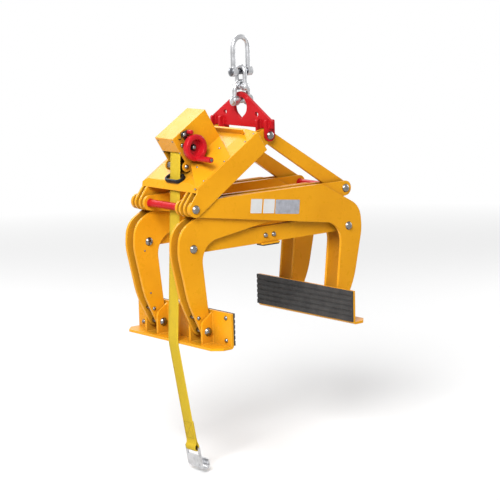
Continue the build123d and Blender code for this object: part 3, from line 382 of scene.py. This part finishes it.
def tube(points, radius, ripple=0.0, pitch=1.0, sides=8):
    """A round bar along points, in millimetres; a ripple swells it at each pitch."""
    places = []
    travelled = 0.0
    for index, point in enumerate(points):
        before = points[max(index - 1, 0)]
        after = points[min(index + 1, len(points) - 1)]
        travelled += (point - before).length / MM
        way = (after - before).normalized()
        first = way.cross(ASKEW).normalized()
        second = way.cross(first)
        thick = radius * MM * (1 + ripple * math.sin(2 * math.pi * travelled / pitch))
        for side in range(sides):
            turn = 2 * math.pi * side / sides
            places.append(point + (first * math.cos(turn) + second * math.sin(turn)) * thick)
    return places, ring_faces(len(points), sides)


WELD_RIPPLE, WELD_PITCH = 0.20, 3.2
WELD_STEP = WELD_PITCH / 5


def weld(start, end, radius=2.2):
    """A rippled bead along a straight corner."""
    steps = max(4, round((end - start).length / MM / WELD_STEP))
    points = [start.lerp(end, step / steps) for step in range(steps + 1)]
    return tube(points, radius, WELD_RIPPLE, WELD_PITCH)


def ring_weld(middle, ring_radius, radius=1.8):
    """A rippled bead round a bar along Y."""
    steps = round(2 * math.pi * ring_radius / WELD_STEP)
    points = []
    for step in range(steps + 1):
        turn = 2 * math.pi * step / steps
        points.append(middle + Vector((math.cos(turn), 0, math.sin(turn))) * ring_radius * MM)
    return tube(points, radius, WELD_RIPPLE, WELD_PITCH)


SCREW_ROOT = -0.4
SCREW_SHARES = ((1.0, 0.18), (0.86, 0.42), (0.60, 0.56), (0.46, 0.58), (0.42, 0.24), (0.05, 0.18))


def screw(place, way, radius):
    """A low button head with a socket."""
    profile = [(radius, SCREW_ROOT)]
    profile += [(wide * radius, high * radius) for wide, high in SCREW_SHARES]
    return turned(profile, place, way, sides=20)


PLATE_H, PLATE_T, PLATE_CORNER = 45.0, 0.5, 3.0
PLATE_SLANT = math.radians(-6.5)
PLATE_LEVELS = ((0.0, 0.0), (0.0, 1.0), (0.5, 1.3), (2.0, 1.3), (2.6, 1.0))
QUARTER = [math.radians(angle) for angle in (0, 22.5, 45, 67.5, 90)]


def plate(middle, width):
    """A thin plate on a face that looks to -Y, with rounded corners and a raised border."""
    cos, sin = math.cos(PLATE_SLANT), math.sin(PLATE_SLANT)
    places = []
    for inset, level in PLATE_LEVELS:
        round_r = PLATE_CORNER - inset
        for index, (side_x, side_z) in enumerate(((1, 1), (-1, 1), (-1, -1), (1, -1))):
            for angle in QUARTER:
                turn = angle + index * math.pi / 2
                x = side_x * (width / 2 - PLATE_CORNER) + math.cos(turn) * round_r
                z = side_z * (PLATE_H / 2 - PLATE_CORNER) + math.sin(turn) * round_r
                offset = Vector((x * cos - z * sin, -level * PLATE_T, x * sin + z * cos))
                places.append(middle + offset * MM)
    return places, ring_faces(len(PLATE_LEVELS), 4 * len(QUARTER))


# Strap
def route_points(name, places, resolution):
    """Points along a smooth NURBS line with the given control places."""
    curve = bpy.data.curves.new(name, "CURVE")
    curve.dimensions = "3D"
    spline = curve.splines.new("NURBS")
    spline.points.add(len(places) - 1)
    for point, place in zip(spline.points, places):
        point.co = (place[0], place[1], place[2], 1.0)
    spline.order_u = 3
    spline.use_endpoint_u = True
    spline.resolution_u = resolution
    thing = bpy.data.objects.new(name, curve)
    scene.collection.objects.link(thing)
    bpy.context.view_layer.update()
    depsgraph = bpy.context.evaluated_depsgraph_get()
    mesh = bpy.data.meshes.new_from_object(thing.evaluated_get(depsgraph))
    points = [vertex.co.copy() for vertex in mesh.vertices]
    bpy.data.objects.remove(thing)
    bpy.data.meshes.remove(mesh)
    return points


SHOULDER_IN, SHOULDER_RISE = 0.35, 0.8


def ribbon(name, points, thickness, material):
    """A flat strap along points of one Y, with rounded edges and a weave UV in metres."""
    half, edge = thickness / 2, STRAP_W / 2
    shoulder = edge - SHOULDER_IN * thickness
    rise = half * SHOULDER_RISE
    upper = [(-edge, 0.0), (-shoulder, rise), (-edge / 2, half), (0.0, half), (edge / 2, half),
             (shoulder, rise)]
    section = upper + [(-side, -high) for side, high in upper]
    count = len(section)
    places = []
    lengths = [0.0]
    for index, point in enumerate(points):
        before = points[max(index - 1, 0)]
        after = points[min(index + 1, len(points) - 1)]
        way = (after - before).normalized()
        out = Vector((-way.z, 0.0, way.x))
        if index:
            lengths.append(lengths[-1] + (point - before).length)
        places += [point + Vector((0, side, 0)) + out * high for side, high in section]
    thing = mesh_object(name, [(places, ring_faces(len(points), count))], material)
    layer = thing.data.uv_layers.new(name="weave")
    for loop in thing.data.loops:
        ring, corner = divmod(loop.vertex_index, count)
        layer.data[loop.index].uv = (section[corner][0] + edge, lengths[ring])
    return thing


STRAP_Y = -28.0
STRAP_TOP = (-293.21, 332.78)
STRAP_TURN = (-325.5, -279.0)
LEAN = math.radians(10.2)


def upper_run(z):
    """A place on the strap's run from the winch to the turn, by its height."""
    share = (STRAP_TOP[1] - z) / (STRAP_TOP[1] - STRAP_TURN[1])
    return row(STRAP_TOP[0] + share * (STRAP_TURN[0] - STRAP_TOP[0]), STRAP_Y, z)


def tail(side, down, y=STRAP_Y):
    """A place on the strap's leaning lower run."""
    x = STRAP_TURN[0] + side * math.cos(LEAN) + down * math.sin(LEAN)
    z = STRAP_TURN[1] + side * math.sin(LEAN) - down * math.cos(LEAN)
    return row(x, y, z)


strap_route = [upper_run(STRAP_TOP[1]), upper_run(120), upper_run(-232),
               row(STRAP_TURN[0] - 0.6, STRAP_Y, STRAP_TURN[1]),
               tail(0, 46), tail(0, 250), tail(0, 351)]
strap_points = route_points("strap_route", strap_route, resolution=14)
strap = ribbon("safety_strap", strap_points, STRAP_T, STRAP)
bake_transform(strap)
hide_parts("strap_upper", "strap_lower")

# The sewn loop that holds the hook
loop_route = [tail(3.0, 268), tail(3.0, 310), tail(3.6, 340), tail(8.4, 354), tail(7.6, 367.4),
              tail(0, 369.6), tail(-7.6, 367.4), tail(-8.4, 354), tail(-1.0, 345), tail(0, 338)]
loop_points = route_points("loop_route", loop_route, resolution=10)
strap_loop = ribbon("strap_loop", loop_points, STRAP_T, STRAP)
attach(strap_loop, "strap_end")

STITCH_PITCH, STITCH_LENGTH, THREAD_R = 4.0, 2.6, 0.5
STITCH_BOW = ((0.0, -0.4), (0.25, 0.25), (0.75, 0.25), (1.0, -0.4))


def stitch_row(start, end, side):
    """Short thread stitches between two places (across, down) on the strap's lower run."""
    across, down = end[0] - start[0], end[1] - start[1]
    total = math.hypot(across, down)
    shapes = []
    for index in range(int(total / STITCH_PITCH)):
        spots = []
        for share, rise in STITCH_BOW:
            way = (index * STITCH_PITCH + share * STITCH_LENGTH) / total
            y = STRAP_Y + start[0] + way * across
            spots.append(tail(side + rise, start[1] + way * down, y))
        shapes.append(tube(spots, THREAD_R, sides=6))
    return shapes


SEW_W, SEW_TOP, SEW_END = 19.0, 273.0, 328.0
SEW_FACES = (4.6, -1.6)
corners = [(-SEW_W, SEW_TOP), (SEW_W, SEW_TOP), (SEW_W, SEW_END), (-SEW_W, SEW_END)]
sew_lines = list(zip(corners, corners[1:] + corners[:1]))
sew_lines += [(corners[0], corners[2]), (corners[1], corners[3])]
sewing = []
for start, end in sew_lines:
    for face in SEW_FACES:
        sewing += stitch_row(start, end, face)
fitting("strap_sewing", sewing, THREAD, "strap_end")

# The strap's winding on the drum
TURNS, TURN_STEPS = 7, 40
ROLL_IN, ROLL_OUT, ROLL_T = 0.0098, 0.0306, 0.0027
drum_at = JOINT["drum_turn"]
roll_points = []
for step in range(TURNS * TURN_STEPS + 1):
    angle = 2 * math.pi * step / TURN_STEPS
    radius = ROLL_IN + (ROLL_OUT - ROLL_IN) * step / (TURNS * TURN_STEPS)
    roll_points.append(drum_at + Vector((-math.cos(angle) * radius, 0, math.sin(angle) * radius)))
winding = ribbon("strap_winding", roll_points, ROLL_T, STRAP)
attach(winding, "winch_drum")
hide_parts("strap_roll")

# Blank plates on the front arm
WHITE_PLATE_W, GREY_PLATE_W = 46, 101
WHITE_PLATES_AT = ((-73, 134), (-21, 128))
GREY_PLATE_AT = (56, 118)
arm_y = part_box("right_arm_front")[0].y
white_plates = [plate(on_face(x, arm_y, z), WHITE_PLATE_W) for x, z in WHITE_PLATES_AT]
fitting("white_plates", white_plates, WHITE_PLATE, "right_arm", smooth=False)
grey_plate = plate(on_face(GREY_PLATE_AT[0], arm_y, GREY_PLATE_AT[1]), GREY_PLATE_W)
fitting("grey_plate", [grey_plate], GREY_PLATE, "right_arm", smooth=False)

# Screws of the cover, of the winch housing's apron and end, and of the back arm; a bolt head
HOUSING_START, HOUSING_END, HOUSING_FRONT, HOUSING_BACK = 104.0, 258.0, -60.0, 30.0
COVER_SCREWS = (37, 78, 176, 277, 318)
COVER_SCREW_Y, COVER_SCREW_OFF, COVER_SCREW_R = -146.0, 50.6, 3.2
COVER_WAY = OFF_LINK + TO_FRONT * 0.18
APRON_SCREWS = ((115, -89), (215, -95))
APRON_TOP, APRON_FALL, APRON_SCREW_R = 80, 0.337, 3.6
APRON_WAY = OFF_LINK + TO_FRONT * 0.34
END_SCREWS = ((-51, 174), (-57, 130), (21, 174), (26, 130))
SMALL_SCREW_R = 3.0
screws = [screw(on_link(along, COVER_SCREW_Y, COVER_SCREW_OFF), COVER_WAY, COVER_SCREW_R)
          for along in COVER_SCREWS]
for along, y in APRON_SCREWS:
    off = APRON_TOP + APRON_FALL * (y - HOUSING_FRONT)
    screws.append(screw(on_link(along, y, off), APRON_WAY, APRON_SCREW_R))
for y, off in END_SCREWS:
    screws.append(screw(on_link(HOUSING_START, y, off), -ALONG_LINK, SMALL_SCREW_R))
fitting("cover_screws", screws, PIN_STEEL, "left_link")

WALL_BOLT = [(6.8, -0.3), (6.8, 1.6), (6.3, 3.2), (5.0, 4.6), (3.0, 5.5), (0.6, 5.9)]
WALL_BOLT_AT = on_link(123.5, HOUSING_FRONT, 146)
fitting("wall_bolt", [turned(WALL_BOLT, WALL_BOLT_AT, TO_FRONT)], PIN_STEEL, "left_link")

ARM_SCREWS = ((-338, -2), (-320, -140))
back_arm_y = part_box("left_arm_back")[0].y
arm_screws = [screw(on_face(x, back_arm_y, z), TO_FRONT, SMALL_SCREW_R) for x, z in ARM_SCREWS]
fitting("arm_screws", arm_screws, DARK_STEEL, "left_arm")

# Winch: dark hub ring in the wheel's bowl and the pawl's spring, hooked into the housing's wall
HUB_RING = [(10.5, -0.3), (10.5, 2.2), (9.6, 3.4), (7.4, 3.4), (7.0, 1.0), (6.6, -0.3)]
hub_at = Vector((drum_at.x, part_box("hub_nut")[1].y, drum_at.z))
fitting("hub_ring", [turned(HUB_RING, hub_at, TO_FRONT, sides=40)], BLACK, "winch_drum")

SPRING_R, WIRE_R, SPRING_IN = 9.6, 1.5, 6.8
SPRING_FROM, SPRING_TO, SPRING_STEPS = 205, 62, 18
SPRING_LEG = ((-304, -59.4, 359), (-304, -65.8, 359), (-303.2, -68.9, 360.5), (-301.4, -69.7, 364))
pawl_at = JOINT["pawl_lift"]
spring_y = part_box("pawl_bolt")[0].y + SPRING_IN * MM
spring_points = [row(*place) for place in SPRING_LEG]
for step in range(SPRING_STEPS + 1):
    angle = math.radians(SPRING_FROM + (SPRING_TO - SPRING_FROM) * step / SPRING_STEPS)
    place = pawl_at + Vector((math.cos(angle), 0, math.sin(angle))) * SPRING_R * MM
    place.y = spring_y
    spring_points.append(place)
fitting("pawl_spring", [tube(spring_points, WIRE_R)], BLACK, "left_link")

# Weld beads
SCISSORS = (-114.0, 114.0)
YOKE_HALF, YOKE_BOTTOM, YOKE_LUG_TOP, YOKE_WELD_R = 5.0, 372.0, 398.0, 2.4
LUG_FACES = (16.0, 25.0)
yoke_welds = []
for middle in SCISSORS:
    for lug_face in LUG_FACES:
        for hand in (-1, 1):
            y = middle + hand * lug_face
            for side in (-YOKE_HALF, YOKE_HALF):
                yoke_welds.append(weld(row(side, y, YOKE_BOTTOM), row(side, y, YOKE_LUG_TOP),
                                       YOKE_WELD_R))
fitting("yoke_welds", yoke_welds, RED, "yoke")

PAD_LUG_T, PAD_WELD_STOP = 8.0, 3.0
for side, hand in (("left", -1), ("right", 1)):
    lug_low, lug_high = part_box(f"{side}_pad_lugs")
    back_x, outer_x = (lug_high.x, lug_low.x) if hand < 0 else (lug_low.x, lug_high.x)
    lug_out = lug_high.y / MM - SCISSORS[1]
    beads = []
    for middle in SCISSORS:
        for face in (lug_out, lug_out - PAD_LUG_T, PAD_LUG_T - lug_out, -lug_out):
            y = (middle + face) * MM
            corner = Vector((back_x, y, lug_low.z))
            top = Vector((back_x, y, lug_high.z - PAD_WELD_STOP * MM))
            outer = Vector((outer_x - hand * PAD_WELD_STOP * MM, y, lug_low.z))
            beads += [weld(corner, top), weld(corner, outer)]
    fitting(f"{side}_pad_welds", beads, YELLOW, f"{side}_pad")

TUBE_WELD_R, TUBE_WELD_IN = 12.2, 1.0
for side, body in (("left", "right_arm"), ("right", "left_arm")):
    tube_low, tube_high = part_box(f"{side}_cross_tube")
    middle = (tube_low + tube_high) / 2
    rings = [ring_weld(Vector((middle.x, y, middle.z)), TUBE_WELD_R)
             for y in (tube_low.y + TUBE_WELD_IN * MM, tube_high.y - TUBE_WELD_IN * MM)]
    fitting(f"{side}_tube_welds", rings, RED, body)

COVER_OFF, HOUSE_WELD_START, HOUSE_WELD_R = 58.0, 116, 1.8
house_corners = [on_link(HOUSE_WELD_START, HOUSING_BACK, COVER_OFF),
                 on_link(HOUSING_END, HOUSING_BACK, COVER_OFF),
                 on_link(HOUSING_END, HOUSING_FRONT, COVER_OFF)]
house_welds = [weld(start, end, HOUSE_WELD_R)
               for start, end in zip(house_corners, house_corners[1:])]
fitting("housing_welds", house_welds, YELLOW, "left_link")


# Floor and world
def looked_at(tree):
    """1 for rays from the camera, a mirror or a clear body, 0 for those that light a surface."""
    path = add_node(tree, "ShaderNodeLightPath")
    mirrored = maths(tree, "MAXIMUM", path.outputs["Is Glossy Ray"],
                     path.outputs["Is Transmission Ray"])
    return maths(tree, "MAXIMUM", path.outputs["Is Camera Ray"], mirrored)


FLOOR_GAP, FLOOR_HALF = 0.012, 60
FLOOR_PALE = (0.86, 0.86, 0.86, 1)
FLOOR_BOUNCE = (0.58, 0.58, 0.58, 1)
FADE_NEAR, FADE_FAR = 2.0, 6.0
WHITE = (1, 1, 1, 1)
AMBIENT = 0.12

floor_mesh = bpy.data.meshes.new("floor")
shape = bmesh.new()
bmesh.ops.create_grid(shape, x_segments=2, y_segments=2, size=FLOOR_HALF)
shape.to_mesh(floor_mesh)
shape.free()
floor = bpy.data.objects.new("floor", floor_mesh)
floor.location = (0, 0, cad_box[0][2] - FLOOR_GAP)
scene.collection.objects.link(floor)
floor_material, tree, shader = new_material("pale_floor")
feed(tree, shader.inputs["Base Color"],
     mix_colour(tree, looked_at(tree), FLOOR_BOUNCE, FLOOR_PALE))
shader.inputs["Roughness"].default_value = 0.6
shader.inputs["Specular IOR Level"].default_value = 0.2
white = add_node(tree, "ShaderNodeEmission", Strength=1.0)
geometry = add_node(tree, "ShaderNodeNewGeometry")
away = add_node(tree, "ShaderNodeVectorMath", operation="LENGTH")
tree.links.new(geometry.outputs["Position"], away.inputs[0])
fade = map_range(tree, away.outputs["Value"], FADE_NEAR, FADE_FAR, 0.0, 1.0)
floor_mix = add_node(tree, "ShaderNodeMixShader")
tree.links.new(maths(tree, "MULTIPLY", fade, looked_at(tree)), floor_mix.inputs[0])
tree.links.new(shader.outputs[0], floor_mix.inputs[1])
tree.links.new(white.outputs[0], floor_mix.inputs[2])
tree.links.new(floor_mix.outputs[0], tree.nodes["Material Output"].inputs["Surface"])
floor.data.materials.append(floor_material)

world = bpy.data.worlds.new("studio")
scene.world = world
world.use_nodes = True
tree = world.node_tree
ambient = tree.nodes["Background"]
ambient.inputs["Color"].default_value = WHITE
ambient.inputs["Strength"].default_value = AMBIENT
bright = add_node(tree, "ShaderNodeBackground", Color=WHITE, Strength=1.0)
world_mix = add_node(tree, "ShaderNodeMixShader")
tree.links.new(looked_at(tree), world_mix.inputs[0])
tree.links.new(ambient.outputs[0], world_mix.inputs[1])
tree.links.new(bright.outputs[0], world_mix.inputs[2])
tree.links.new(world_mix.outputs[0], tree.nodes["World Output"].inputs["Surface"])

# Lamps
MIDDLE = Vector((0, 0, -0.55))


def area(name, place, size, power):
    """A rectangular lamp that looks at the object's middle."""
    data = bpy.data.lights.new(name, "AREA")
    data.shape = "RECTANGLE"
    data.size, data.size_y = size
    data.energy = power
    lamp = bpy.data.objects.new(name, data)
    lamp.location = place
    lamp.rotation_euler = (MIDDLE - Vector(place)).to_track_quat("-Z", "Y").to_euler()
    scene.collection.objects.link(lamp)


area("key", (-3.9, -2.7, 2.9), (3.0, 3.0), 490)
area("back", (0.57, 3.2, 3.0), (2.6, 2.4), 78)
area("side", (3.9, 0.2, 0.6), (2.0, 2.0), 60)
area("rear", (-0.4, 4.2, 0.9), (1.8, 1.4), 60)

# Camera at the photograph's viewing angle
CAMERA_AT = (-3.85981, -4.67878, 0.3311)
TO_RIGHT = Vector((0.76692, -0.641273, -0.024548))
TO_TOP = Vector((0.124165, 0.110747, 0.986062))
TO_VIEWER = Vector((-0.629616, -0.759279, 0.164558))
camera_data = bpy.data.cameras.new("photo_camera")
camera_data.sensor_fit = "HORIZONTAL"
camera_data.sensor_width = 36.0
camera_data.lens = 136.58
camera_data.clip_end = 200
camera = bpy.data.objects.new("photo_camera", camera_data)
axes = Matrix((TO_RIGHT, TO_TOP, TO_VIEWER)).transposed()
camera.matrix_world = Matrix.Translation(CAMERA_AT) @ axes.to_4x4()
scene.collection.objects.link(camera)
scene.camera = camera
scene.view_settings.view_transform = "Standard"
